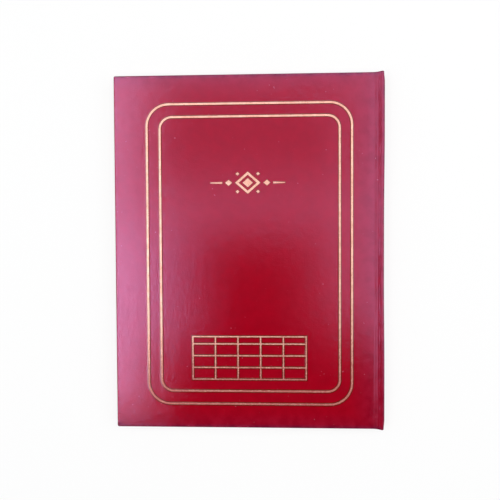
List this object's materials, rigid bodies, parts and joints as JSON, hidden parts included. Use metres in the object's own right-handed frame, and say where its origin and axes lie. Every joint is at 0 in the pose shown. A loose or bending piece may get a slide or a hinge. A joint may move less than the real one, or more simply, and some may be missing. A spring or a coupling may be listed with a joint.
{
  "type": "ledger book",
  "caption": "Large case-bound ledger book with a hinge groove, turning covers, flyleaves and leaves, and a sewn text block with bands behind a hollow spine.",
  "frame": {"origin": "under the middle of the closed book, on the surface that its back cover lies on", "axes": "+X to the spine, +Y to the head of the pages, +Z out of the front cover"},
  "size_m": [0.221, 0.292, 0.0167],
  "materials": {
    "cover_cloth": "crimson leatherette, fine grain, semi-gloss",
    "greyboard": "matt grey bookbinder's board",
    "endpaper": "matt white offset stock",
    "page": "matt ledger paper",
    "mull": "open-weave starched cotton",
    "kraft": "matt brown kraft",
    "band": "woven silk stripes",
    "thread": "waxed cotton",
    "foil": "hot-stamped imitation gold foil, satin"
  },
  "bodies": {
    "text_block": {"section_01": "page", "section_02": "page", "section_03": "page", "section_04": "page", "section_05": "page", "section_06": "page", "section_07": "page", "section_08": "page", "mull": "mull", "spine_lining": "kraft", "headband": "band", "tailband": "band", "kettle_stitch_head": "thread", "kettle_stitch_tail": "thread", "sewing_station_1": "thread", "sewing_station_2": "thread", "sewing_station_3": "thread", "sewing_station_4": "thread", "spine_strip": "greyboard", "spine_cloth": "cover_cloth", "front_joint_cloth": "cover_cloth", "front_joint_mull": "mull", "front_joint_paper": "endpaper", "back_joint_cloth": "cover_cloth", "back_joint_mull": "mull", "back_joint_paper": "endpaper"},
    "front_cover": {"front_board": "greyboard", "front_cover_cloth": "cover_cloth", "front_mull_flap": "mull", "front_pastedown": "endpaper"},
    "back_cover": {"back_board": "greyboard", "back_cover_cloth": "cover_cloth", "back_mull_flap": "mull", "back_pastedown": "endpaper"},
    "front_flyleaf": {"front_flyleaf": "endpaper"},
    "back_flyleaf": {"back_flyleaf": "endpaper"},
    "leaf_01": {"leaf_01": "page"},
    "leaf_02": {"leaf_02": "page"},
    "leaf_03": {"leaf_03": "page"},
    "leaf_04": {"leaf_04": "page"}
  },
  "joints": [
    {"name": "front_cover_open", "type": "hinge", "parent": "text_block", "child": "front_cover", "pos_m": [0.1064, 0, 0.01337], "axis": [0, 1, 0], "range_deg": [0, 180], "deforming": ["front_joint_cloth", "front_joint_mull", "front_joint_paper"]},
    {"name": "back_cover_open", "type": "hinge", "parent": "text_block", "child": "back_cover", "pos_m": [0.1064, 0, 0.00331], "axis": [0, -1, 0], "range_deg": [0, 180], "deforming": ["back_joint_cloth", "back_joint_mull", "back_joint_paper"]},
    {"name": "front_flyleaf_turn", "type": "hinge", "parent": "text_block", "child": "front_flyleaf", "pos_m": [0.1064, 0, 0.01337], "axis": [0, 1, 0], "range_deg": [0, 123]},
    {"name": "leaf_01_turn", "type": "hinge", "parent": "text_block", "child": "leaf_01", "pos_m": [0.1064, 0, 0.01337], "axis": [0, 1, 0], "range_deg": [0, 109]},
    {"name": "leaf_02_turn", "type": "hinge", "parent": "text_block", "child": "leaf_02", "pos_m": [0.1064, 0, 0.01337], "axis": [0, 1, 0], "range_deg": [0, 94]},
    {"name": "leaf_03_turn", "type": "hinge", "parent": "text_block", "child": "leaf_03", "pos_m": [0.1064, 0, 0.01337], "axis": [0, 1, 0], "range_deg": [0, 80]},
    {"name": "leaf_04_turn", "type": "hinge", "parent": "text_block", "child": "leaf_04", "pos_m": [0.1064, 0, 0.01337], "axis": [0, 1, 0], "range_deg": [0, 65]},
    {"name": "back_flyleaf_turn", "type": "hinge", "parent": "text_block", "child": "back_flyleaf", "pos_m": [0.1064, 0, 0.00331], "axis": [0, -1, 0], "range_deg": [0, 123]}
  ],
  "couplings": [
    {"joint": "front_flyleaf_turn", "follows": "front_cover_open", "ratio": 0.68},
    {"joint": "leaf_01_turn", "follows": "front_cover_open", "ratio": 0.6},
    {"joint": "leaf_02_turn", "follows": "front_cover_open", "ratio": 0.52},
    {"joint": "leaf_03_turn", "follows": "front_cover_open", "ratio": 0.44},
    {"joint": "leaf_04_turn", "follows": "front_cover_open", "ratio": 0.36},
    {"joint": "back_flyleaf_turn", "follows": "back_cover_open", "ratio": 0.68}
  ]
}
